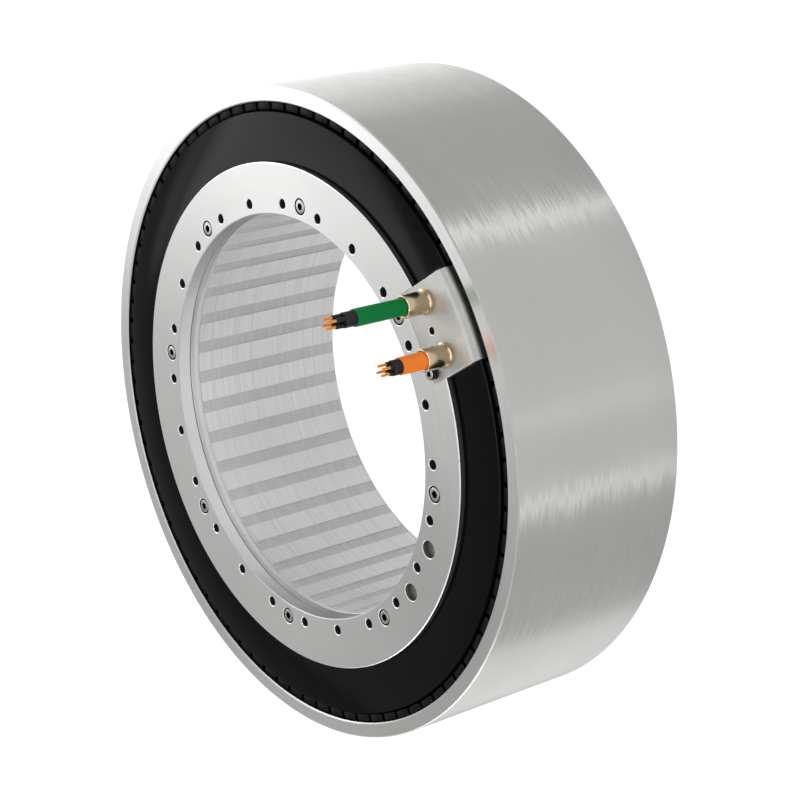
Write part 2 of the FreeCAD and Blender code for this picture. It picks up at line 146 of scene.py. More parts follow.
def named(name: str) -> Piece:
    """Name the piece just added and settle its place into its mesh."""
    piece = bpy.context.object
    piece.name = name
    bpy.ops.object.transform_apply(location=True, rotation=True, scale=True)
    return piece


def round_up(piece: Piece, sharp: float = 30.0) -> Piece:
    """Merge doubles, turn all faces outwards and smooth what is flatter than an angle.

    Args:
        piece: the finished shape.
        sharp: degrees from which an edge stays sharp.

    Returns:
        The same piece.
    """
    with shaping(piece):
        bpy.ops.mesh.remove_doubles(threshold=MERGED)
        bpy.ops.mesh.normals_make_consistent(inside=False)
    only(piece)
    bpy.ops.object.shade_smooth_by_angle(angle=math.radians(sharp))
    return piece


def hoop(name: str, radius: float, steps: int, centre: Place) -> Piece:
    """Return a level open circle, for a piece to be pulled from."""
    bpy.ops.mesh.primitive_circle_add(vertices=steps, radius=radius, location=centre)
    return named(name)


def turned(
    name: str, section: Section, steps: int, centre: Spot = (0, 0), solid: bool = False
) -> Piece:
    """Turn a section about an upright axis.

    Args:
        name: the piece's name.
        section: radius and height of each ring, in order.
        steps: facets round the axis.
        centre: the axis's place.
        solid: whether a flat disc closes each end; if not, the last ring meets the first.

    Returns:
        The closed shape.
    """
    piece = hoop(name, section[0][0], steps, (*centre, section[0][1]))
    with shaping(piece, Part.EDGES):
        for (radius, height), (next_radius, next_height) in pairwise(section):
            rise = {"value": (0, 0, next_height - height)}
            bpy.ops.mesh.extrude_region_move(TRANSFORM_OT_translate=rise)
            growth = (next_radius / radius, next_radius / radius, 1)
            bpy.ops.transform.resize(value=growth, center_override=(*centre, next_height))
        pick(piece, Part.EDGES, lambda edge: edge.is_boundary)
        if solid:
            bpy.ops.mesh.fill_holes(sides=0)
        else:
            bpy.ops.mesh.bridge_edge_loops()
    return round_up(piece)


def rounded(radius: float, height: float, size: float, middle: float, way: int = 1) -> Section:
    """Return the rings of a rounded corner between an outer wall and a flat face.

    Args:
        radius: radius of the wall.
        height: height of the face.
        size: how far the rounding reaches from the corner.
        middle: how far its middle ring lies from both.
        way: 1 for a face on top, -1 for one below.

    Returns:
        Three rings, from the wall inwards.
    """
    return (
        (radius, height - way * size),
        (radius - middle, height - way * middle),
        (radius - size, height),
    )


def polar(reach: float, degrees: float, centre: Spot = (0, 0)) -> Spot:
    """Return the place at a distance and bearing from a centre."""
    turn = math.radians(degrees)
    return (centre[0] + reach * math.cos(turn), centre[1] + reach * math.sin(turn))


def block(name: str, low: Place, high: Place) -> Piece:
    """Start a straight-sided piece between two corners."""
    middle = [(a + b) / 2 for a, b in zip(low, high)]
    bpy.ops.mesh.primitive_cube_add(size=1, location=middle)
    bpy.context.object.scale = [b - a for a, b in zip(low, high)]
    return named(name)


def ease(piece: Piece, width: float, rounds: int, fits: Test) -> None:
    """Bevel the edges that fit, by a width on each side and in a number of facets."""
    with shaping(piece, Part.EDGES):
        pick(piece, Part.EDGES, fits)
        bpy.ops.mesh.bevel(offset=width, segments=rounds, affect="EDGES")


def carve(piece: Piece, tool: Piece, cut: Cut = Cut.AWAY) -> Piece:
    """Shape a piece with another, which is used up.

    Args:
        piece: what is shaped.
        tool: the shape that cuts; its finish stays on the cut faces.
        cut: whether the tool's shape is taken away or kept.

    Returns:
        The shaped piece.
    """
    modifier = piece.modifiers.new("carving", "BOOLEAN")
    modifier.operation = cut.value
    modifier.solver = "EXACT"
    modifier.material_mode = "TRANSFER"
    modifier.object = tool
    only(piece)
    bpy.ops.object.modifier_apply(modifier=modifier.name)
    bpy.data.objects.remove(tool, do_unlink=True)
    return piece


def spun(piece: Piece, degrees: float) -> Piece:
    """Turn a piece's mesh about the motor's axis."""
    piece.data.transform(Matrix.Rotation(math.radians(degrees), 4, "Z"))
    return piece


def copied(piece: Piece) -> Piece:
    """Return a copy of a piece with its own mesh."""
    twin = piece.copy()
    twin.data = piece.data.copy()
    bpy.context.collection.objects.link(twin)
    return twin


def joined(pieces: Sequence[Piece], name: str) -> Piece:
    """Make one piece of several."""
    bpy.ops.object.select_all(action="DESELECT")
    for piece in pieces:
        piece.select_set(True)
    bpy.context.view_layer.objects.active = pieces[0]
    bpy.ops.object.join()
    pieces[0].name = name
    return pieces[0]


def round_the_axis(piece: Piece, count: int, first: float, name: str) -> Piece:
    """Copy a piece evenly round the motor's axis, and join the copies.

    Args:
        piece: the one that is copied; it is used up.
        count: how many there are.
        first: angle of the first copy, in degrees.
        name: name of the joined piece.

    Returns:
        The joined piece.
    """
    copies = [spun(copied(piece), first + 360 * place / count) for place in range(count)]
    bpy.data.objects.remove(piece, do_unlink=True)
    return joined(copies, name)


# Finishes.

# The part of a noise that is used, and its steep middle, which gives plateaus.
NOISE_SPAN = (0.3, 0.7)
NOISE_CORE = (0.4, 0.6)
# How far a surface is turned from the eye where painted shade darkens its colour, and where resin
# fades.
PAINTED_SHADE_SPAN = (0.35, 0.8)
FADE_SPAN = (0.466, 0.5)
# How strongly resin mirrors at both ends of its fading.
FADE_LEVELS = (0.5, 0.15)
# Wide patches: how many to a metre on turned metal, and in grains on a skin.
CLOUDS_PER_METRE = 14
PATCH_GRAINS = 9


def colour(code: str) -> tuple[float, float, float, float]:
    """Turn a hex colour as seen on a screen into linear light."""
    channels = [int(code[place : place + 2], 16) / 255 for place in (1, 3, 5)]
    linear = [c / 12.92 if c <= 0.04045 else ((c + 0.055) / 1.055) ** 2.4 for c in channels]
    return (*linear, 1.0)


def add_node(owner: Any, kind: str, settings: dict[str | int, Any] | None = None) -> bpy.types.Node:
    """Add a node and fill in its inputs and options.

    Args:
        owner: the material or world that it joins.
        kind: the kind of node.
        settings: a value, or the socket that feeds it, for each input or option.

    Returns:
        The new node.
    """
    node = owner.node_tree.nodes.new(kind)
    for name, value in (settings or {}).items():
        if isinstance(value, Socket):
            owner.node_tree.links.new(value, node.inputs[name])
        elif isinstance(name, int) or name in node.inputs:
            node.inputs[name].default_value = value
        else:
            setattr(node, name, value)
    return node


def cleared(owner: Any) -> Any:
    """Return a material or world with no nodes in it."""
    owner.use_nodes = True
    owner.node_tree.nodes.clear()
    return owner


def work_out(owner: Any, operation: str, *terms: Socket | float) -> Socket:
    """Return the outcome of arithmetic on numbers."""
    settings = {"operation": operation, **dict(enumerate(terms))}
    return add_node(owner, "ShaderNodeMath", settings).outputs[0]


def combine(owner: Any, operation: str, *terms: Socket | Sequence[float]) -> Socket:
    """Return the outcome of arithmetic on places or directions."""
    settings = {"operation": operation, **dict(enumerate(terms))}
    return add_node(owner, "ShaderNodeVectorMath", settings).outputs[0]


def scaled(owner: Any, vector: Socket | Sequence[float], share: Socket) -> Socket:
    """Return a direction or colour times a share."""
    settings = {"operation": "SCALE", 0: vector, "Scale": share}
    return add_node(owner, "ShaderNodeVectorMath", settings).outputs[0]


def mapped(owner: Any, source: Socket, seen: Span, given: Span) -> Socket:
    """Map one range of a value to another; beyond its ends the value stays as at them."""
    settings = {
        "Value": source,
        "From Min": seen[0],
        "From Max": seen[1],
        "To Min": given[0],
        "To Max": given[1],
    }
    return add_node(owner, "ShaderNodeMapRange", settings).outputs["Result"]


def varied(owner: Any, source: Socket, middle: float, share: float) -> Socket:
    """Let a noise vary a value by a share of itself either way."""
    return mapped(owner, source, NOISE_SPAN, (middle * (1 - share), middle * (1 + share)))


def noise(owner: Any, where: Socket, detail: float, roughness: float = 0.5) -> Socket:
    """Return noise from 0 to 1, with a number of finer octaves and their strength."""
    settings = {"Vector": where, "Scale": 1.0, "Detail": detail, "Roughness": roughness}
    return add_node(owner, "ShaderNodeTexNoise", settings).outputs["Fac"]


def facing(owner: Any) -> Socket:
    """Return 0 where a surface faces the eye and 1 where it is seen edge-on."""
    return add_node(owner, "ShaderNodeLayerWeight", {"Blend": 0.5}).outputs["Facing"]


@dataclass(frozen=True)
class Finish(ABC):
    """A surface finish, which knows its material.

    Attributes:
        name: the material's name.
        tone: colour as seen on a screen.
        roughness: how widely it scatters what it mirrors.
        depth: height of its texture in millimetres.
        centre: the axis that its texture lies about.
    """

    name: str
    tone: str
    roughness: float = 0.4
    depth: float = 0.01
    centre: Spot = (0, 0)

    @abstractmethod
    def inputs(self, material: Material) -> dict[str, Any]:
        """Return what the inputs of the material's shader get."""

    def material(self) -> Material:
        """Return the finish's material, which is made when it is first asked for."""
        return bpy.data.materials.get(self.name) or self.make()

    def make(self) -> Material:
        """Make the material."""
        material = cleared(bpy.data.materials.new(self.name))
        material.diffuse_color = colour(self.tone)
        shader = add_node(material, "ShaderNodeBsdfPrincipled", self.inputs(material))
        add_node(material, "ShaderNodeOutputMaterial", {"Surface": shader.outputs[0]})
        return material

    def place(self, material: Material, *scale: float) -> Socket:
        """Return object coordinates about the finish's axis, in pattern units per metre."""
        seat = add_node(material, "ShaderNodeTexCoord").outputs["Object"]
        shifted = combine(material, "SUBTRACT", seat, (*self.centre, 0))
        return combine(material, "MULTIPLY", shifted, scale)

    def tint(self, material: Material, shade: Socket) -> Socket:
        """Return the finish's tone, lighter or darker by a shade."""
        return scaled(material, colour(self.tone)[:3], shade)

    def bump(self, material: Material, height: Socket) -> Socket:
        """Return the normals of a texture with the finish's depth."""
        settings = {"Strength": 1.0, "Distance": self.depth * MM, "Height": height}
        return add_node(material, "ShaderNodeBump", settings).outputs[0]


@dataclass(frozen=True)
class TurnedMetal(Finish):
    """Metal turned on a lathe: fine rings on its faces and hoops on its walls.

    The lines lie where radius plus height is equal, so faces, walls and chamfers share them.

    Attributes:
        anisotropy: how far the hoops draw a highlight out.
        line_pitch: width of a line in millimetres.
        line_length: its length in millimetres.
        swirl: tangent of the largest tilt from ragged lines.
        contrast: how far the lines vary the tone.
        cloud: how far wide patches vary it.
        painted_shade_share: how far painted shade darkens its colour where it turns from the eye.
        hooped: whether highlights follow the hoops.
    """

    roughness: float = 0.32
    depth: float = 0.004
    anisotropy: float = 0.7
    line_pitch: float = 0.8
    line_length: float = 60.0
    swirl: float = 0.015
    contrast: float = 0.06
    cloud: float = 0.03
    painted_shade_share: float = 0.0
    hooped: bool = True

    def hoops(self, material: Material, pitch: float, length: float, detail: float) -> Socket:
        """Return noise drawn out along the hoops.

        Args:
            material: the material in hand.
            pitch: width of a line, over that of the finish.
            length: length of a line, over that of the finish.
            detail: octaves of finer lines.

        Returns:
            The noise, from 0 to 1.
        """
        along = 1000 / (self.line_length * length)
        across = 1000 / (self.line_pitch * pitch)
        flat = self.place(material, 1, 1, 0)
        size = add_node(material, "ShaderNodeVectorMath", {"operation": "LENGTH", 0: flat})
        seat = {0: self.place(material, along, along, 1)}
        split = add_node(material, "ShaderNodeSeparateXYZ", seat).outputs
        course = work_out(material, "ADD", size.outputs["Value"], split["Z"])
        line = work_out(material, "MULTIPLY", course, across)
        drawn = {"X": split["X"], "Y": split["Y"], "Z": line}
        where = add_node(material, "ShaderNodeCombineXYZ", drawn).outputs[0]
        return noise(material, where, detail, roughness=0.6)

    def sway(self, material: Material, normal: Socket, way: Socket, source: Socket) -> Socket:
        """Tilt a normal along a direction by a noise, as far as the swirl allows."""
        share = mapped(material, source, NOISE_CORE, (-self.swirl, self.swirl))
        tilted = combine(material, "ADD", normal, scaled(material, way, share))
        return combine(material, "NORMALIZE", tilted)

    def inputs(self, material: Material) -> dict[str, Any]:
        """Return what the inputs of the material's shader get."""
        lines = self.hoops(material, pitch=1, length=1, detail=3.0)
        ragged = self.hoops(material, pitch=1.6, length=0.4, detail=2.0)
        clouds = noise(material, self.place(material, *[CLOUDS_PER_METRE] * 3), 2.0)
        shade = work_out(
            material,
            "MULTIPLY",
            varied(material, lines, 1, self.contrast),
            varied(material, clouds, 1, self.cloud),
        )
        # Painted shade: the colour is darkened where the surface is seen edge-on.
        if self.painted_shade_share:
            shade_painted_edge_on = mapped(material, facing(material), PAINTED_SHADE_SPAN, (1.0, 1 - self.painted_shade_share))
            shade = work_out(material, "MULTIPLY", shade, shade_painted_edge_on)
        normal = self.bump(material, lines)
        found = {
            "Metallic": 1.0,
            "Base Color": self.tint(material, shade),
            "Roughness": varied(material, ragged, self.roughness, 0.05),
            "Normal": normal,
            "Anisotropic": self.anisotropy if self.hooped else 0.0,
            "Anisotropic Rotation": 0.25,
        }
        if self.hooped:
            ring = {"direction_type": "RADIAL", "axis": "Z"}
            way = add_node(material, "ShaderNodeTangent", ring).outputs[0]
            found |= {"Tangent": way, "Normal": self.sway(material, normal, way, ragged)}
        return found


@dataclass(frozen=True)
class Coated(Finish):
    """A non-metal or dull coated surface with a fine uneven skin.

    Attributes:
        metallic: share of bare metal in it.
        ior: how strongly its top bends light.
        grain: width of the skin's grain in millimetres.
        mottle: how far wide patches vary the tone.
        stretch: length of a grain over its width.
        fades: whether it mirrors less where it is seen from low down.
    """

    metallic: float = 0.0
    ior: float = 1.5
    grain: float = 1.5
    mottle: float = 0.06
    stretch: float = 1.0
    fades: bool = False

    def inputs(self, material: Material) -> dict[str, Any]:
        """Return what the inputs of the material's shader get."""
        fine = 1000 / self.grain
        seat = self.place(material, fine, fine, fine / self.stretch)
        skin = noise(material, seat, 4.0, roughness=0.55)
        patches = noise(material, self.place(material, *[fine / PATCH_GRAINS] * 3), 3.0)
        found = {
            "Metallic": self.metallic,
            "IOR": self.ior,
            "Base Color": self.tint(material, varied(material, patches, 1, self.mottle)),
            "Roughness": varied(material, skin, self.roughness, 0.15),
            "Normal": self.bump(material, skin),
        }
        if self.fades:
            level = mapped(material, facing(material), FADE_SPAN, FADE_LEVELS)
            found["Specular IOR Level"] = level
        return found


# Turned and brushed steel wall: satin grey, streaks of light along the axis with ragged ends.
BRUSHED_WALL = TurnedMetal(
    "steel_wall_hoop_brushed",
    "#C1C1BF",
    roughness=0.35,
    anisotropy=1.0,
    line_pitch=0.9,
    swirl=0.019,
    contrast=0.012,
    depth=0.002,
)
# Ground steel end faces: brighter, with fine rings.
GROUND_FACE = TurnedMetal(
    "steel_face_ground", "#E2E2E1", anisotropy=0.6, line_pitch=0.5, swirl=0.005
)
# Cured adhesive behind and between the magnets, with painted shade: near black, so the gaps between the
# magnets read dark.
GLUE_WITH_PAINTED_SHADE = Coated("adhesive_black_painted_gap_shade", "#0A0A0A", roughness=0.6, ior=1.3, depth=0.02)
# Face-turned aluminium: bright, fine rings, a broad sheen that changes round the face.
TURNED_ALUMINIUM = TurnedMetal(
    "aluminium_face_turned",
    "#DEDEDE",
    roughness=0.36,
    anisotropy=0.5,
    line_pitch=0.5,
    swirl=0.004,
    contrast=0.015,
)
# Broken edges: painted highlight, a lighter copy of the aluminium that draws a light line round holes
# and rims.
EDGE_PAINTED_HIGHLIGHT = TurnedMetal(
    "aluminium_edge_painted_highlight", "#FAFAFA", roughness=0.55, anisotropy=0.2, line_pitch=0.4, contrast=0.03
)
# Edge of the bore: painted shade, a darker and duller copy of the aluminium, so that it stays a thin
# grey line.
EDGE_PAINTED_SHADE = TurnedMetal(
    "aluminium_edge_painted_shade", "#C4C4C4", roughness=0.6, anisotropy=0.2, line_pitch=0.4, contrast=0.03
)
# Broken edges of the steel ring: painted highlight, a lighter copy of the steel that draws a light line
# on both sides of its face.
STEEL_EDGE_PAINTED_HIGHLIGHT = TurnedMetal(
    "steel_edge_painted_highlight", "#CFCFCE", roughness=0.5, anisotropy=0.2, line_pitch=0.4, contrast=0.03
)
# Reamed bore: smoother, so that it mirrors the dark of the bore at the top, with painted shade
# darkening its colour where it is seen edge-on.
REAMED_BORE_PAINTED_SHADE = TurnedMetal(
    "aluminium_bore_reamed_painted_shade",
    "#E8E8E8",
    roughness=0.22,
    anisotropy=0.6,
    line_pitch=0.4,
    contrast=0.03,
    painted_shade_share=0.5,
)
# Bored aluminium: light lands with long fine tool marks.
BORED_ALUMINIUM = TurnedMetal(
    "aluminium_bored",
    "#E6E6E6",
    roughness=0.45,
    anisotropy=0.5,
    line_pitch=0.9,
    line_length=140,
    contrast=0.09,
)
# Broached groove floors: duller and darker than the lands.
BROACHED_ALUMINIUM = TurnedMetal(
    "aluminium_broached_dull", "#D4D4D4", roughness=0.6, anisotropy=0.2, line_pitch=0.9, contrast=0.08
)
# Side walls of the grooves: painted light, a near-white copy of the aluminium, so that they draw no
# dark line.
GROOVE_SIDE_PAINTED_LIGHT = TurnedMetal(
    "aluminium_groove_side_painted_light", "#FAFAFA", roughness=0.6, anisotropy=0.2, line_pitch=0.9, contrast=0.05
)
# Milled floors of the flat-bottomed holes, and the joint in the bore: dull grey.
MILLED_FLOOR = Coated(
    "aluminium_end_milled", "#80807E", roughness=0.5, metallic=1.0, grain=0.7, mottle=0.15
)
# Walls of the same holes: painted shade, a little darker than their floors.
HOLE_WALL_PAINTED_SHADE = Coated(
    "aluminium_hole_wall_painted_shade", "#7A7A79", roughness=0.5, metallic=0.6, grain=0.7, mottle=0.15
)
# The flange's outer wall: painted shade, a dark grey copy of the aluminium that draws a thin grey line
# beside the cover.
WALL_PAINTED_SHADE = Coated(
    "aluminium_wall_painted_shade", "#4A4A4B", roughness=0.4, metallic=0.5, grain=1.2, depth=0.006
)
# Tapped threads: painted shade, near black.
THREAD_PAINTED_SHADE = Coated(
    "thread_tapped_painted_shade", "#1E1E1F", roughness=0.45, metallic=0.6, grain=0.6, depth=0.004
)
# Counterbores, sockets and the screws' sides in them: painted shade, near black where little light gets
# in.
HOLLOW_PAINTED_SHADE = Coated(
    "socket_painted_shade", "#161617", roughness=0.5, metallic=0.5, grain=0.6, depth=0.004
)
# Cast epoxy: near black, half gloss, slightly uneven skin.
CAST_EPOXY = Coated(
    "epoxy_black_cast",
    "#0B0B0B",
    roughness=0.15,
    ior=1.2,
    grain=2.6,
    depth=0.005,
    mottle=0.12,
    fades=True,
)
# Coated magnets: near black, a little duller than the resin.
COATED_MAGNET = Coated(
    "magnet_epoxy_coated", "#151516", roughness=0.34, ior=1.17, grain=0.8, mottle=0.3
)
# Zinc-plated screw steel: light grey.
SCREW_STEEL = Coated(
    "screw_steel_zinc_plated", "#C4C4C2", roughness=0.3, metallic=1.0, grain=0.6, depth=0.004
)
# Milled aluminium block: pale warm grey, satin.
MILLED_ALUMINIUM = Coated(
    "aluminium_milled_satin", "#C8C7C4", roughness=0.56, metallic=1.0, grain=1.2, depth=0.004
)
# The block's bend: blasted, so that it stays pale beside the black magnets.
BLASTED_BEND = Coated(
    "aluminium_bead_blasted", "#BCBCBA", roughness=0.55, metallic=0.45, grain=0.8, depth=0.006
)
# Stacked electrical steel, inside the resin.
CORE_STEEL = Coated(
    "electrical_steel_stacked", "#5E5E60", roughness=0.5, metallic=1.0, grain=0.35, stretch=0.2
)
# Wound enamelled copper, inside the resin.
ENAMELLED_COPPER = Coated(
    "copper_enamelled_wound", "#A0522D", roughness=0.35, metallic=0.8, grain=0.9, stretch=0.5
)
# Core insulation: smooth black plastic.
CORE_PLASTIC = Coated(
    "cross_linked_polyethylene_black", "#0A0A0C", roughness=0.36, ior=1.4, grain=0.8
)
# Inner sheath: matt black rubber.
SHEATH_RUBBER = Coated("rubber_black_extruded", "#0C0C0E", ior=1.4, grain=0.7, depth=0.02)
# Bare copper strands: bright orange.
BARE_COPPER = Coated(
    "copper_bare_stranded", "#FFAC3C", roughness=0.3, metallic=0.35, grain=0.4, depth=0.004
)


def plated_brass(name: str, centre: Spot) -> TurnedMetal:
    """Return nickel-washed brass turned about a gland's own axis."""
    return TurnedMetal(
        f"brass_turned_{name}",
        "#D2BFA0",
        roughness=0.22,
        line_pitch=0.45,
        line_length=20,
        contrast=0.02,
        depth=0.001,
        centre=centre,
        hooped=False,
    )


def extruded_jacket(name: str, tone: str, centre: Spot) -> Coated:
    """Return an extruded cable jacket with faint marks along its length."""
    return Coated(
        f"polyurethane_jacket_{name}",
        tone,
        roughness=0.5,
        ior=1.25,
        grain=0.9,
        depth=0.03,
        mottle=0.05,
        stretch=14,
        centre=centre,
    )


def dress(piece: Piece, finish: Finish) -> Piece:
    """Give a whole piece one finish."""
    piece.data.materials.clear()
    piece.data.materials.append(finish.material())
    return piece


def cut_round(piece: Piece, tool: Piece, count: int, first: float, finish: Finish) -> None:
    """Cut a tool's shape evenly round the axis from a first angle, and finish the cut faces."""
    carve(piece, dress(round_the_axis(tool, count, first, "tools"), finish))


def redress(piece: Piece, finish: Finish, fits: Test) -> None:
    """Give the faces that fit another finish."""
    piece.data.materials.append(finish.material())
    with shaping(piece, Part.FACES):
        pick(piece, Part.FACES, fits)
        piece.active_material_index = len(piece.data.materials) - 1
        bpy.ops.object.material_slot_assign()


def fit(piece: Piece, body: Body) -> None:
    """Set a dressed piece on its body in place of the node of the same name.

    Args:
        piece: the finished shape, named after the node with "_made" behind it.
        body: what it moves with.
    """
    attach(piece, body.value)
    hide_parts(piece.name.removesuffix("_made"))
    finishes = ", ".join(material.name for material in piece.data.materials)
    log.info("%s: %d faces, %s", piece.name, len(piece.data.polygons), finishes)


def reach(spot: Vector) -> float:
    """Return how far a place lies from the motor's axis."""
    return math.hypot(spot.x, spot.y)


def inside(face: Any, radius: float) -> bool:
    """Tell whether all of an upright or sloping face lies within a radius."""
    return abs(face.normal.z) < STEEP and all(reach(point.co) < radius for point in face.verts)


def outside(face: Any, radius: float) -> bool:
    """Tell whether all of an upright face lies beyond a radius."""
    return abs(face.normal.z) < UPRIGHT and all(reach(point.co) > radius for point in face.verts)


def is_top(edge: Any) -> bool:
    """Tell whether an edge lies in the plane of the front face."""
    return all(abs(point.co.z - FRONT_FACE) < HAIR for point in edge.verts)


def broken_edge(face: Any, height: float) -> bool:
    """Tell whether a face is a chamfer just under a height."""
    near = all(height - CHAMFER < point.co.z < height + HAIR for point in face.verts)
    return near and UPRIGHT < abs(face.normal.z) < LEVEL


def in_hole(face: Any) -> bool:
    """Tell whether a face already has the finish of a hole."""
    return face.material_index > 0


def is_side(face: Any) -> bool:
    """Tell whether a cut face stands upright along a radius."""
    spot = face.calc_center_median()
    across = (face.normal.x * spot.x + face.normal.y * spot.y) / reach(spot)
    return in_hole(face) and abs(face.normal.z) < 0.5 and abs(across) < 0.5


@dataclass
class Rotor:
    """The turning ring and the magnets glued inside it."""

    outer_radius: float = 192.5 * MM
    inner_radius: float = 183.6 * MM
    length: float = 117 * MM
    edge_break: float = 0.7 * MM
    rear_edge_break: float = 0.5 * MM
    hole_circle: float = 188 * MM
    hole_count: int = 8
    magnet_count: int = 84
    magnet_face: float = 178.7 * MM
    magnet_back: float = 183.4 * MM
    magnet_width: float = 10.9 * MM
    magnet_rear: float = 5 * MM
    magnet_front: float = 115.3 * MM
    magnet_edge: float = 0.7 * MM
    steps: int = 360

    def build(self) -> None:
        """Make the ring and the magnets."""
        fit(self.ring(), Body.ROTOR)
        fit(self.magnets(), Body.ROTOR)

    def ring(self) -> Piece:
        """Turn the ring and drill its rear holes."""
        front, rear = self.edge_break, self.rear_edge_break
        section = (
            (self.inner_radius + rear, 0),
            (self.outer_radius - rear, 0),
            (self.outer_radius, rear),
            (self.outer_radius, self.length - front),
            (self.outer_radius - front, self.length),
            (self.inner_radius + front, self.length),
            (self.inner_radius, self.length - front),
            (self.inner_radius, rear),
        )
        ring = dress(turned("rotor_ring_made", section, self.steps), BRUSHED_WALL)
        drill = ThreadedHole(minor=2.1 * MM, major=2.5 * MM, pitch=0.8 * MM, depth=12 * MM)
        hole = drill.tool((self.hole_circle, 0), 0, way=1)
        # Painted shade in the tapped holes.
        cut_round(ring, hole, self.hole_count, 0, THREAD_PAINTED_SHADE)
        redress(ring, GROUND_FACE, lambda face: abs(face.normal.z) > STEEP and not in_hole(face))
        # Painted highlight on the front chamfers.
        redress(ring, STEEL_EDGE_PAINTED_HIGHLIGHT, lambda face: broken_edge(face, self.length))
        # Near-black painted shade on the inner wall behind the magnets.
        redress(ring, GLUE_WITH_PAINTED_SHADE, lambda face: inside(face, self.inner_radius + HAIR))
        return round_up(ring)

    def magnets(self) -> Piece:
        """Shape one magnet and copy it round the ring; glue with painted shade covers all but its face
        and front.
        """
        half = self.magnet_width / 2
        magnet = block(
            "magnet",
            (self.magnet_face, -half, self.magnet_rear),
            (self.magnet_back, half, self.magnet_front),
        )
        ease(magnet, self.magnet_edge, 2, lambda edge: True)
        dress(magnet, COATED_MAGNET)
        # Near-black painted shade on the magnet's sides and back, for the dark gaps between magnets.
        redress(magnet, GLUE_WITH_PAINTED_SHADE, lambda face: face.normal.z < 0.99 and face.normal.x > -0.99)
        round_up(magnet, 60)
        first = 180 / self.magnet_count
        return round_the_axis(magnet, self.magnet_count, first, "rotor_magnets_made")


@dataclass
class ThreadedHole:
    """A tapped hole with a countersunk mouth, as the shape that cuts it."""

    minor: float
    major: float
    pitch: float
    depth: float
    countersink: float = 0.4 * MM
    steps: int = 24

    def tool(self, centre: Spot, face: float, way: int = -1) -> Piece:
        """Return the shape to take away.

        Args:
            centre: place of the hole's axis.
            face: height of the face that it opens in.
            way: 1 if it runs up from that face, -1 if it runs down.

        Returns:
            The cutting shape.
        """
        mouth = self.major + self.countersink
        section = [(mouth, face - way * PAST), (mouth, face)]
        for turn in range(int((self.depth - self.countersink) / self.pitch)):
            level = self.countersink + turn * self.pitch
            section.append((self.major, face + way * level))
            section.append((self.minor, face + way * (level + self.pitch / 2)))
        section.append((self.minor, face + way * self.depth))
        section.append((self.minor * 0.1, face + way * (self.depth + self.minor * 0.5)))
        return turned("drill", section, self.steps, centre, solid=True)


@dataclass
class PlainHole:
    """A flat-bottomed hole with a broken edge, as the shape that cuts it."""

    radius: float
    depth: float
    edge_break: float = 0.3 * MM
    steps: int = 48

    def tool(self, centre: Spot, face: float) -> Piece:
        """Return the shape to take away, running down from a face."""
        rim = self.radius + self.edge_break
        section = (
            (rim, face + PAST),
            (rim, face),
            (self.radius, face - self.edge_break),
            (self.radius, face - self.depth),
        )
        return turned("cutter", section, self.steps, centre, solid=True)


@dataclass
class CapScrew:
    """A socket-head cap screw."""

    head_radius: float
    head_height: float
    shank_radius: float
    length: float
    socket_width: float
    socket_depth: float
    head_edge: float = 0.35 * MM
    tip_edge: float = 0.5 * MM
    steps: int = 36

    def build(self, centre: Spot, seat: float, twist: float) -> Piece:
        """Return the screw with its head resting at the seat.

        Args:
            centre: place of its axis.
            seat: height of the face under the head.
            twist: how far it is turned, in degrees.

        Returns:
            The screw.
        """
        top = seat + self.head_height
        tip = seat - self.length
        rounding = [
            (self.head_radius - inwards * self.head_edge, top - down * self.head_edge)
            for inwards, down in ((0, 2), (0.3, 0.8), (1, 0.2), (1.8, 0))
        ]
        section = (
            (self.shank_radius - self.tip_edge, tip),
            (self.shank_radius, tip + self.tip_edge),
            (self.shank_radius, seat),
            (self.head_radius, seat),
            *rounding,
        )
        screw = turned("screw", section, self.steps, centre, solid=True)
        bpy.ops.mesh.primitive_cylinder_add(
            vertices=6,
            radius=self.socket_width / 2 / math.cos(math.pi / 6),
            depth=2 * self.socket_depth,
            location=(*centre, top),
            rotation=(0, 0, math.radians(twist)),
        )
        # Painted shade on the socket, the head's sides and the shank.
        carve(dress(screw, SCREW_STEEL), dress(named("socket"), HOLLOW_PAINTED_SHADE))
        redress(screw, HOLLOW_PAINTED_SHADE, lambda face: not in_hole(face) and face.normal.z < LEVEL)
        return round_up(screw)


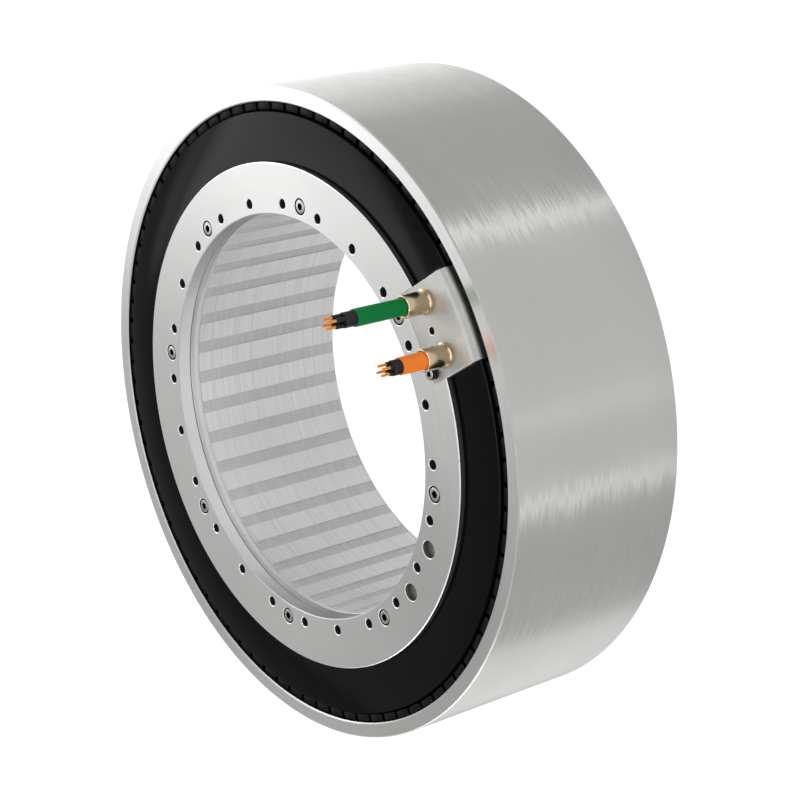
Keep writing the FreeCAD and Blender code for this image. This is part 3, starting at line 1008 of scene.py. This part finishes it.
@dataclass
class FrontFlange:
    """The bright flange, its holes and its screws."""

    bore_radius: float = 120 * MM
    outer_radius: float = 149.65 * MM
    edge_break: float = 0.5 * MM
    tapped_circle: float = 126.6 * MM
    tapped_count: int = 24
    screw_circle: float = 128.2 * MM
    screw_count: int = 8
    screw_phase: float = 7.5
    screw_twist: float = 23.0
    counterbore_radius: float = 4.9 * MM
    counterbore_depth: float = 5.3 * MM
    dowel_circle: float = 130.5 * MM
    dowel_radius: float = 5.1 * MM
    dowel_depth: float = 3.2 * MM
    dowel_angles: tuple[float, ...] = (-67.5, -52.5)
    steps: int = 288

    def build(self) -> None:
        """Make the flange and its screws."""
        fit(self.flange(), Body.STATOR)
        fit(self.screws(), Body.STATOR)

    def flange(self) -> Piece:
        """Turn the flange, drill it and notch it for the cable block."""
        soft = self.edge_break
        section = (
            (self.bore_radius + soft, FRONT_FACE),
            (self.outer_radius - soft, FRONT_FACE),
            (self.outer_radius, FRONT_FACE - soft),
            (self.outer_radius, FLANGE_BACK),
            (self.bore_radius, FLANGE_BACK),
            (self.bore_radius, FRONT_FACE - soft),
        )
        flange = dress(turned("front_flange_made", section, self.steps), TURNED_ALUMINIUM)
        # Near-black painted shade in the tapped holes and the counterbores.
        drill = ThreadedHole(minor=2.5 * MM, major=3 * MM, pitch=1 * MM, depth=7 * MM)
        hole = drill.tool((self.tapped_circle, 0), FRONT_FACE)
        cut_round(flange, hole, self.tapped_count, 0, THREAD_PAINTED_SHADE)
        seat = PlainHole(self.counterbore_radius, self.counterbore_depth)
        hole = seat.tool((self.screw_circle, 0), FRONT_FACE)
        cut_round(flange, hole, self.screw_count, self.screw_phase, HOLLOW_PAINTED_SHADE)
        dowel = PlainHole(self.dowel_radius, self.dowel_depth)
        dowels = joined([dowel.tool(spot, FRONT_FACE) for spot in self.dowel_spots], "dowels")
        carve(flange, dress(dowels, MILLED_FLOOR))
        notch = block(
            "notch",
            (NOTCH_FROM, -NOTCH_HALF, FLANGE_BACK - PAST),
            (self.outer_radius + 5 * PAST, NOTCH_HALF, FRONT_FACE + PAST),
        )
        carve(flange, dress(notch, TURNED_ALUMINIUM))
        # Painted highlight on the front chamfers; painted shade on the bore's edge, the outer wall and
        # the hole walls; the bore darkened edge-on by painted shade.
        redress(flange, EDGE_PAINTED_HIGHLIGHT, lambda face: broken_edge(face, FRONT_FACE))
        redress(flange, EDGE_PAINTED_SHADE, lambda face: inside(face, self.bore_radius + soft + SLACK))
        redress(flange, REAMED_BORE_PAINTED_SHADE, lambda face: inside(face, self.bore_radius + SLACK))
        redress(flange, WALL_PAINTED_SHADE, lambda face: outside(face, self.outer_radius - SLACK))
        redress(flange, HOLE_WALL_PAINTED_SHADE, self.is_dowel_wall)
        return round_up(flange)

    @property
    def dowel_spots(self) -> list[Spot]:
        """Places of the flat-bottomed holes."""
        return [polar(self.dowel_circle, angle) for angle in self.dowel_angles]

    def is_dowel_wall(self, face: Any) -> bool:
        """Tell whether a face is the upright wall of a flat-bottomed hole."""
        middle = face.calc_center_median()
        reaches = [math.dist((middle.x, middle.y), spot) for spot in self.dowel_spots]
        return abs(face.normal.z) < UPRIGHT and min(reaches) < self.dowel_radius + SLACK

    def screws(self) -> Piece:
        """Make the screws round the flange, each turned a little differently."""
        screw = CapScrew(
            head_radius=4.25 * MM,
            head_height=5 * MM,
            shank_radius=2.5 * MM,
            length=16 * MM,
            socket_width=4 * MM,
            socket_depth=2.5 * MM,
        )
        seat = FRONT_FACE - self.counterbore_depth
        made = [
            spun(
                screw.build((self.screw_circle, 0), seat, self.screw_twist * place),
                self.screw_phase + 360 * place / self.screw_count,
            )
            for place in range(self.screw_count)
        ]
        return joined(made, "flange_screws_made")


@dataclass
class Carrier:
    """The sleeve inside the stator, with shallow grooves of their own finish along its bore."""

    bore_radius: float = 120.6 * MM
    outer_radius: float = 134 * MM
    collar_radius: float = 147 * MM
    rear_edge: float = 0.4 * MM
    groove_count: int = 39
    groove_width: float = 7.4 * MM
    groove_depth: float = 0.6 * MM
    groove_phase: float = 2.93
    relief_depth: float = 0.3 * MM
    relief_width: float = 2 * MM
    joint_depth: float = 0.4 * MM
    joint_height: float = 1.1 * MM
    steps: int = 312

    def build(self) -> None:
        """Make the sleeve."""
        fit(self.sleeve(), Body.STATOR)

    def sleeve(self) -> Piece:
        """Turn the sleeve, with a shallow relief where the grooves run out, and cut them."""
        bore, relief = self.bore_radius, self.relief_depth
        relief_top = CORE_FRONT + self.relief_width
        section = (
            (bore + self.rear_edge, 0),
            (self.outer_radius, 0),
            (self.outer_radius, CORE_FRONT),
            (self.collar_radius, CORE_FRONT),
            (self.collar_radius, FLANGE_BACK),
            (bore + self.joint_depth, FLANGE_BACK),
            (bore, FLANGE_BACK - self.joint_height),
            (bore, relief_top),
            (bore + relief, relief_top - relief),
            (bore + relief, CORE_FRONT + relief),
            (bore, CORE_FRONT),
            (bore, self.rear_edge),
        )
        sleeve = dress(turned("stator_carrier_made", section, self.steps), BORED_ALUMINIUM)
        half = self.groove_width / 2
        groove = block(
            "groove", (bore - 8 * PAST, -half, -PAST), (bore + self.groove_depth, half, CORE_FRONT)
        )
        cut_round(sleeve, groove, self.groove_count, self.groove_phase, BROACHED_ALUMINIUM)
        # Painted light on the groove sides; painted shade on the collar bore where seen edge-on, and on
        # the sloped edges.
        redress(sleeve, GROOVE_SIDE_PAINTED_LIGHT, is_side)
        redress(sleeve, REAMED_BORE_PAINTED_SHADE, self.is_collar_bore)
        redress(sleeve, EDGE_PAINTED_SHADE, lambda face: UPRIGHT < face.normal.z < LEVEL)
        redress(sleeve, MILLED_FLOOR, self.is_joint)
        return round_up(sleeve)

    def is_joint(self, face: Any) -> bool:
        """Tell whether a face is the shallow slope where the sleeve meets the flange."""
        high = face.calc_center_median().z > FLANGE_BACK - self.joint_height
        return high and UPRIGHT < face.normal.z < LEVEL

    def is_collar_bore(self, face: Any) -> bool:
        """Tell whether a face is the bore of the front collar, before the grooves."""
        low = CORE_FRONT + self.relief_width - 2 * SLACK
        return inside(face, self.bore_radius + SLACK) and all(
            point.co.z > low for point in face.verts
        )


@dataclass
class Potting:
    """The black resin over both ends of the windings."""

    skin_radius: float = 175.5 * MM
    front_inner: float = 149.7 * MM
    front_foot: float = 147.05 * MM
    front_face: float = 117 * MM
    front_back: float = 110.9 * MM
    rear_inner: float = 134.05 * MM
    rear_cover: float = 6 * MM
    core_rear: float = 12.2 * MM
    edge: float = 0.6 * MM
    edge_middle: float = 0.18 * MM
    steps: int = 288

    def build(self) -> None:
        """Cast both covers."""
        fit(self.front(), Body.STATOR)
        fit(self.rear(), Body.STATOR)

    def front(self) -> Piece:
        """Turn the front cover and open it for the cable block."""
        inner, top = self.front_inner, self.front_face
        section = (
            (inner, FLANGE_BACK),
            (inner, top - self.edge_middle),
            (inner + self.edge_middle, top),
            *reversed(rounded(COVER_RADIUS, top, self.edge, self.edge_middle)),
            (COVER_RADIUS, CORE_FRONT),
            (self.skin_radius, CORE_FRONT),
            (self.skin_radius, self.front_back),
            (self.front_foot, self.front_back),
            (self.front_foot, FLANGE_BACK),
        )
        cover = dress(turned("front_potting_made", section, self.steps), CAST_EPOXY)
        recess = block(
            "recess",
            (NOTCH_FROM, -NOTCH_HALF, FLANGE_BACK),
            (COVER_RADIUS + 5 * PAST, NOTCH_HALF, top + 5 * PAST),
        )
        return round_up(carve(cover, dress(recess, CAST_EPOXY)))

    def rear(self) -> Piece:
        """Turn the rear cover."""
        section = (
            (self.rear_inner, self.rear_cover),
            (self.skin_radius, self.rear_cover),
            (self.skin_radius, self.core_rear),
            (COVER_RADIUS, self.core_rear),
            *rounded(COVER_RADIUS, 0, self.edge, self.edge_middle, way=-1),
            (self.rear_inner, 0),
        )
        return dress(turned("rear_potting_made", section, self.steps), CAST_EPOXY)


@dataclass
class CableBlock:
    """The block that the cables leave through, and its two screws."""

    inner_edge: float = 136.4 * MM
    half_width: float = 26 * MM
    outer_edge: float = 4.5 * MM
    straight_edge: float = 0.5 * MM
    painted_highlight_to: float = 155 * MM
    tap_place: float = 150 * MM
    screw_place: float = 140 * MM
    screw_offset: float = 20.3 * MM
    screw_twist: float = 14.0
    steps: int = 720

    def build(self) -> None:
        """Make the block and its screws."""
        fit(self.body(), Body.STATOR)
        fit(self.screws(), Body.STATOR)

    def body(self) -> Piece:
        """Mill the block: round outside, straight inside, with a soft outer edge."""
        body = block(
            "cable_block_made",
            (self.inner_edge, -self.half_width, FLANGE_BACK),
            (COVER_RADIUS + 2 * PAST, self.half_width, FRONT_FACE),
        )
        section = (
            (COVER_RADIUS, FLANGE_BACK - 5 * PAST),
            (COVER_RADIUS, FRONT_FACE + 5 * PAST),
        )
        carve(body, turned("round_outside", section, self.steps, solid=True), Cut.TO_SHAPE)
        ease(body, self.outer_edge, 8, self.is_outer_top)
        ease(body, self.straight_edge, 2, self.is_other_top)
        drill = ThreadedHole(minor=1.9 * MM, major=2.2 * MM, pitch=0.8 * MM, depth=6 * MM)
        dress(body, MILLED_ALUMINIUM)
        # Painted shade in the tapped hole; painted highlight on the inner chamfers.
        carve(body, dress(drill.tool((self.tap_place, 0), FRONT_FACE), THREAD_PAINTED_SHADE))
        redress(body, EDGE_PAINTED_HIGHLIGHT, self.gets_painted_highlight)
        redress(body, BLASTED_BEND, self.is_bend)
        return round_up(body)

    def is_outer_top(self, edge: Any) -> bool:
        """Tell whether an edge is the outer edge of the block's top."""
        return is_top(edge) and all(reach(point.co) > COVER_RADIUS - SLACK for point in edge.verts)

    def is_other_top(self, edge: Any) -> bool:
        """Tell whether an edge is one of the other edges of the block's top."""
        return is_top(edge) and edge.calc_face_angle(0) > math.radians(60)

    def gets_painted_highlight(self, face: Any) -> bool:
        """Tell whether a face is a broken edge of the block's inner half, which gets painted highlight.
        """
        near = face.calc_center_median().x < self.painted_highlight_to
        return near and broken_edge(face, FRONT_FACE)

    def is_bend(self, face: Any) -> bool:
        """Tell whether a face lies on the soft outer edge."""
        far = reach(face.calc_center_median()) > COVER_RADIUS - self.outer_edge
        return far and 0.02 < face.normal.z < 0.98

    def screws(self) -> Piece:
        """Make the two cap screws that stand proud on the block."""
        screw = CapScrew(
            head_radius=3.5 * MM,
            head_height=4 * MM,
            shank_radius=2 * MM,
            length=14 * MM,
            socket_width=3 * MM,
            socket_depth=2 * MM,
        )
        pair = [
            screw.build(
                (self.screw_place, side * self.screw_offset), FRONT_FACE, self.screw_twist * side
            )
            for side in (-1, 1)
        ]
        return joined(pair, "block_screws_made")


@dataclass
class Cable:
    """A gland and the short stripped cable in it."""

    name: str
    side: int
    slot: str
    tone: str
    jacket_top: float
    sheath_top: float
    core_top: float
    tip: float
    from_axis: float = 154.3 * MM
    offset: float = 15.2 * MM
    collar_radius: float = 7.1 * MM
    collar_top: float = 122.6 * MM
    sleeve_radius: float = 6.3 * MM
    mouth: float = 136.7 * MM
    stub_radius: float = 5.6 * MM
    bore_radius: float = 4.85 * MM
    jacket_radius: float = 4.8 * MM
    sheath_radius: float = 4.2 * MM
    core_radius: float = 1.25 * MM
    core_circle: float = 2.65 * MM
    core_count: int = 4
    strand_radius: float = 0.265 * MM
    outer_strands: int = 6
    twist_steps: int = 6
    twist_step: float = 14.0
    steps: int = 48

    @property
    def centre(self) -> Spot:
        """Place of the gland's axis."""
        return (self.from_axis, self.side * self.offset)

    @property
    def core_spots(self) -> list[Spot]:
        """Places of the cores' axes."""
        return [
            polar(self.core_circle, 360 * place / self.core_count, self.centre)
            for place in range(self.core_count)
        ]

    def build(self) -> None:
        """Make the gland and the cable's layers."""
        jacket = rounded(self.jacket_radius, self.jacket_top, 0.3 * MM, 0.1 * MM)
        sheath = rounded(self.sheath_radius, self.sheath_top, 0.4 * MM, 0.12 * MM)
        for piece, slot, finish in (
            (self.gland(), "gland_brass", plated_brass(self.name, self.centre)),
            (
                self.layer("jacket_made", FLANGE_BACK, jacket),
                self.slot,
                extruded_jacket(self.name, self.tone, self.centre),
            ),
            (self.layer("inner_sheath_made", self.jacket_top, sheath), "black_sheath", SHEATH_RUBBER),
            (self.cores(), "core_insulation", CORE_PLASTIC),
            (self.conductors(), "conductor_copper", BARE_COPPER),
        ):
            fit(dress(piece, finish), Body.STATOR)

    def gland(self) -> Piece:
        """Turn the gland: stub, rounded collar, neck, sleeve and mouth."""
        collar, ring = self.collar_radius, self.collar_top
        sleeve, bore, top = self.sleeve_radius, self.bore_radius, self.mouth
        section = (
            (bore, FLANGE_BACK),
            (self.stub_radius, FLANGE_BACK),
            (self.stub_radius, FRONT_FACE),
            (collar - 0.2 * MM, FRONT_FACE),
            (collar, FRONT_FACE + 0.25 * MM),
            (collar, ring - 0.7 * MM),
            (collar - 0.12 * MM, ring - 0.35 * MM),
            (collar - 0.45 * MM, ring - 0.08 * MM),
            (sleeve - 0.05 * MM, ring),
            (sleeve - 0.05 * MM, ring + 0.3 * MM),
            (sleeve, ring + 0.5 * MM),
            *rounded(sleeve, top, 0.5 * MM, 0.15 * MM),
            (bore + 0.5 * MM, top),
            (bore + 0.15 * MM, top - 0.2 * MM),
            (bore + 0.1 * MM, top - 0.6 * MM),
            (bore, top - 1.5 * MM),
        )
        return turned(f"{self.name}_gland_made", section, 64, self.centre)

    def layer(self, name: str, foot: float, end: Section) -> Piece:
        """Pull a layer of the cable from its foot up to its cut end."""
        section = ((end[0][0], foot), *end)
        return turned(f"{self.name}_{name}", section, self.steps, self.centre, solid=True)

    def cores(self) -> Piece:
        """Make the insulated cores with rounded cut ends."""
        section = (
            (self.core_radius, self.sheath_top),
            *rounded(self.core_radius, self.core_top, 0.35 * MM, 0.1 * MM),
        )
        made = [turned("core", section, 20, spot, solid=True) for spot in self.core_spots]
        return joined(made, f"{self.name}_cores_made")

    def conductors(self) -> Piece:
        """Twist one strand and those round it into each bare conductor."""
        bundles = []
        for centre in self.core_spots:
            spots = [centre] + [
                polar(2 * self.strand_radius, 360 * place / self.outer_strands, centre)
                for place in range(self.outer_strands)
            ]
            strands = [hoop("strand", self.strand_radius, 8, (*spot, self.core_top)) for spot in spots]
            bundle = joined(strands, "bundle")
            self.twist(bundle, centre)
            bundles.append(round_up(bundle, 50))
        return joined(bundles, f"{self.name}_conductors_made")

    def twist(self, bundle: Piece, centre: Spot) -> None:
        """Pull the strands up in short steps, turning them about their common axis."""
        rise = (self.tip - self.core_top) / self.twist_steps
        with shaping(bundle, Part.EDGES):
            for step in range(self.twist_steps):
                bpy.ops.mesh.extrude_region_move(TRANSFORM_OT_translate={"value": (0, 0, rise)})
                bpy.ops.transform.rotate(
                    value=math.radians(self.twist_step),
                    orient_axis="Z",
                    center_override=(*centre, self.core_top + (step + 1) * rise),
                )
            pick(bundle, Part.EDGES, lambda edge: edge.is_boundary)
            bpy.ops.mesh.fill_holes(sides=0)


def dress_hidden_parts() -> None:
    """Give the laminated core and the coils, which keep their plain shapes, their finishes."""
    hidden = {"lamination_core": CORE_STEEL, "winding_coils": ENAMELLED_COPPER}
    for name, finish in hidden.items():
        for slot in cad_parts[name].material_slots:
            slot.material = finish.material()
        log.info("%s: kept, %s", name, finish.name)


@dataclass
class SoftBox:
    """One studio lamp; a glow of 1 looks as bright as white paper."""

    name: str
    place: Place
    target: Place
    width: float
    height: float
    glow: float
    power: float = 4.0

    @classmethod
    def upright(
        cls, name: str, first: float, last: float, distance: float, top: float, glow: float
    ) -> "SoftBox":
        """Return an upright lamp that fills the view between two bearings round the motor.

        Args:
            name: the lamp's name.
            first: bearing of one edge, in degrees from +X seen from above.
            last: bearing of the other edge.
            distance: metres from the axis.
            top: its height; it stands just above the floor.
            glow: its brightness.

        Returns:
            The lamp.
        """
        width = 2 * distance * math.tan(math.radians(abs(last - first) / 2))
        middle = top / 2 + 0.01
        place = (*polar(distance, (first + last) / 2), middle)
        return cls(name, place, (0, 0, middle), width, top, glow)

    def build(self) -> None:
        """Set the lamp up, aimed at its target and with its power in watts per square metre."""
        lamp = bpy.data.lights.new(self.name, "AREA")
        lamp.shape = "RECTANGLE"
        lamp.size = self.width
        lamp.size_y = self.height
        lamp.energy = self.power * self.width * self.height * self.glow
        stand = bpy.data.objects.new(self.name, lamp)
        aim = Vector(self.target) - Vector(self.place)
        stand.rotation_euler = aim.to_track_quat("-Z", "Y").to_euler()
        stand.location = self.place
        stand.visible_camera = False
        bpy.context.collection.objects.link(stand)


@dataclass
class Studio:
    """Floor, backdrop, lamps and camera."""

    floor_size: float = 40.0
    floor_drop: float = 0.2 * MM
    floor_tone: str = "#808080"
    floor_glow: float = 0.96
    floor_mirrored: float = 0.64
    sky_tone: str = "#A4A4A2"
    lens: float = 101.38
    sensor: float = 36.0
    nearest: float = 50 * MM
    eye: Place = (1.07246, -0.19456, 0.84736)
    right: Place = (0.52278, -0.34656, -0.77885)
    up: Place = (0.31486, 0.92753, -0.20138)
    back: Place = (0.79219, -0.13995, 0.59401)

    def build(self) -> None:
        """Set up everything round the motor."""
        self.floor()
        self.sky()
        self.camera()
        for lamp in self.lamps():
            lamp.build()

    def floor(self) -> None:
        """Lay a floor that looks white, mirrors as pale grey and takes a faint shadow."""
        bpy.ops.mesh.primitive_plane_add(size=self.floor_size, location=(0, 0, -self.floor_drop))
        floor = named("studio_floor")
        paper = cleared(bpy.data.materials.new("paper_white_matt"))
        rays = add_node(paper, "ShaderNodeLightPath").outputs
        seen = work_out(paper, "MULTIPLY", rays["Is Camera Ray"], self.floor_glow)
        mirrored = work_out(paper, "MULTIPLY", rays["Is Glossy Ray"], self.floor_mirrored)
        strength = work_out(paper, "ADD", seen, mirrored)
        glow = add_node(paper, "ShaderNodeEmission", {"Strength": strength})
        matt = add_node(paper, "ShaderNodeBsdfDiffuse", {"Color": colour(self.floor_tone)})
        both = add_node(paper, "ShaderNodeAddShader", {0: matt.outputs[0], 1: glow.outputs[0]})
        add_node(paper, "ShaderNodeOutputMaterial", {"Surface": both.outputs[0]})
        floor.data.materials.append(paper)

    def sky(self) -> None:
        """Surround the set with pale walls that look white to the eye."""
        world = cleared(bpy.data.worlds.new("studio_walls"))
        bpy.context.scene.world = world
        rays = add_node(world, "ShaderNodeLightPath").outputs
        tones = {
            "data_type": "RGBA",
            "A": colour(self.sky_tone),
            "B": (1, 1, 1, 1),
            "Factor": rays["Is Camera Ray"],
        }
        tone = add_node(world, "ShaderNodeMix", tones).outputs["Result"]
        walls = add_node(world, "ShaderNodeBackground", {"Strength": 1.0, "Color": tone})
        add_node(world, "ShaderNodeOutputWorld", {"Surface": walls.outputs[0]})

    def camera(self) -> None:
        """Place the camera as the picture was taken."""
        lens = bpy.data.cameras.new("camera")
        lens.lens = self.lens
        lens.sensor_width = self.sensor
        lens.clip_start = self.nearest
        viewer = bpy.data.objects.new("camera", lens)
        turn = Matrix((self.right, self.up, self.back)).transposed().to_4x4()
        viewer.matrix_world = Matrix.Translation(self.eye) @ turn
        bpy.context.collection.objects.link(viewer)
        bpy.context.scene.camera = viewer

    def lamps(self) -> list[SoftBox]:
        """Return the lamps: a panel behind for the faces, and soft ones all round."""
        uprights = (
            ("side_low", -136, -101, 2.4, 1.2, 2.4),
            ("front", -55, 27, 2.6, 1.0, 1.4),
            ("streak_low", -55, -52, 2.4, 0.9, 7.5),
            ("streak_faint", -29, -27, 2.4, 0.9, 3.2),
            ("streak_high", 28.5, 31.5, 2.4, 0.9, 11.5),
            ("side_high_edge", 82, 96, 2.4, 1.2, 1.5),
            ("side_high", 96, 136, 2.4, 1.2, 3.0),
        )
        return [
            SoftBox("panel_behind", (-2.68, 1.99, 2.5), (0, 0.1, 0.1), 2.3, 2.0, 1.25),
            SoftBox("top_light", (0.0, 0.0, 2.4), (0, 0, 0), 1.6, 1.6, 2.1),
            *(SoftBox.upright(*row) for row in uprights),
        ]


def set_view() -> None:
    """Show colours as they are written."""
    bpy.context.scene.view_settings.view_transform = "Standard"


def main() -> None:
    """Build the motor, dress it and set up the studio."""
    logging.basicConfig(level=logging.INFO, format="%(message)s")
    set_view()
    Studio().build()
    Rotor().build()
    FrontFlange().build()
    Carrier().build()
    Potting().build()
    CableBlock().build()
    for name, side, slot, tone, *tops in (
        ("signal", 1, "green_jacket", "#00783A", 168.5, 175.7, 181.4, 187.1),
        ("power", -1, "orange_jacket", "#FF8A33", 152.0, 157.2, 159.6, 164.7),
    ):
        Cable(name, side, slot, tone, *(top * MM for top in tops)).build()
    dress_hidden_parts()


if __name__ == "__main__":
    main()
